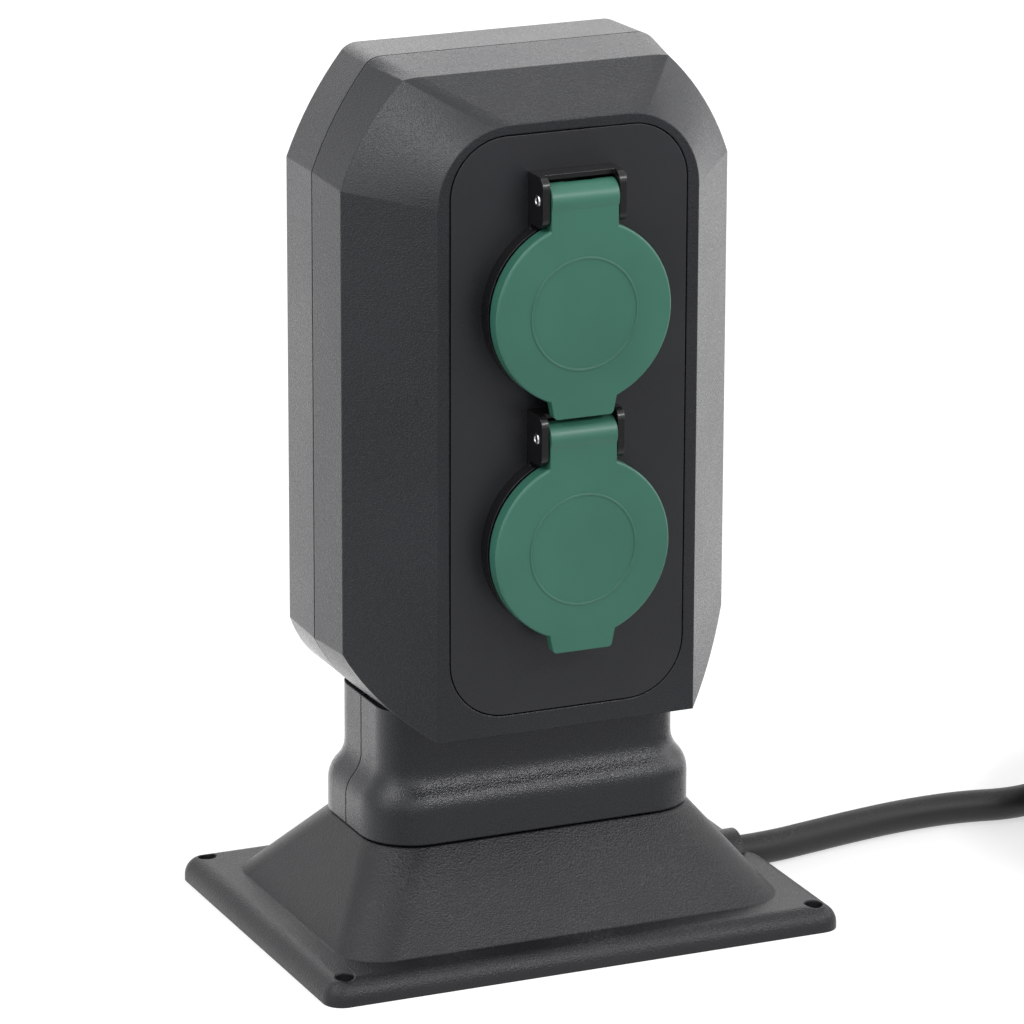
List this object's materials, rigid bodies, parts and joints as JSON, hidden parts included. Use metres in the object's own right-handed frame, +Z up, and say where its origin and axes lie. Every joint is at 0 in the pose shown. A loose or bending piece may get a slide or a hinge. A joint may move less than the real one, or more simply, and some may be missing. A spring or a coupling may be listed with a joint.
{
  "type": "garden socket column",
  "caption": "Outdoor mains column on a flat screw-down base, with hinged spring lids over earthed sockets and a rubber supply cord.",
  "frame": {"origin": "on the ground, under the centre of the rectangular base", "axes": "+X to the right seen from the front, +Y to the back, +Z up; the sockets face -Y"},
  "size_m": [0.3785, 0.1616, 0.2434],
  "materials": {
    "shell_plastic": "fine moulded grain, satin",
    "panel_plastic": "fine moulded grain, satin",
    "socket_plastic": "smooth satin",
    "lid_plastic": "satin green, moulded",
    "soft_rubber": "matt",
    "cord_rubber": "matt rubber sheath",
    "steel": "zinc plated",
    "brass": "bright",
    "block_plastic": "natural nylon",
    "live_insulation": "brown wire insulation",
    "neutral_insulation": "blue wire insulation",
    "earth_insulation": "green wire insulation"
  },
  "bodies": {
    "column": {"front_shell": "shell_plastic", "rear_shell": "shell_plastic", "base_plate": "shell_plastic", "front_panel": "panel_plastic", "joint_seal": "soft_rubber", "terminal_block": "block_plastic", "cable_clamp": "socket_plastic", "housing_screws": "steel", "neck_screws": "steel", "clamp_screws": "steel", "block_screws": "steel", "inner_cable": "cord_rubber", "live_wire": "live_insulation", "neutral_wire": "neutral_insulation", "earth_wire": "earth_insulation", "earth_bar": "brass", "live_bar": "brass", "neutral_bar": "brass", "power_cord": "cord_rubber", "cord_coil": "cord_rubber", "cord_tail": "cord_rubber", "cord_tie": "soft_rubber", "plug_relief": "cord_rubber", "plug_body": "soft_rubber", "plug_pins": "steel", "socket_body_upper": "socket_plastic", "contact_cover_upper": "socket_plastic", "retaining_ring_upper": "socket_plastic", "earth_clip_upper": "brass", "hinge_pin_upper": "steel", "hinge_spring_upper": "steel", "socket_body_lower": "socket_plastic", "contact_cover_lower": "socket_plastic", "retaining_ring_lower": "socket_plastic", "earth_clip_lower": "brass", "hinge_pin_lower": "steel", "hinge_spring_lower": "steel"},
    "upper_lid": {"lid_upper": "lid_plastic", "lid_seal_upper": "soft_rubber"},
    "lower_lid": {"lid_lower": "lid_plastic", "lid_seal_lower": "soft_rubber"}
  },
  "joints": [
    {"name": "upper_lid_hinge", "type": "hinge", "parent": "column", "child": "upper_lid", "pos_m": [0, -0.0453, 0.212], "axis": [-1, 0, 0], "range_deg": [0, 105], "stiffness_Nm_per_rad": 0.015, "springref_deg": -28.65},
    {"name": "lower_lid_hinge", "type": "hinge", "parent": "column", "child": "lower_lid", "pos_m": [0, -0.0453, 0.1474], "axis": [-1, 0, 0], "range_deg": [0, 105], "stiffness_Nm_per_rad": 0.015, "springref_deg": -28.65}
  ]
}
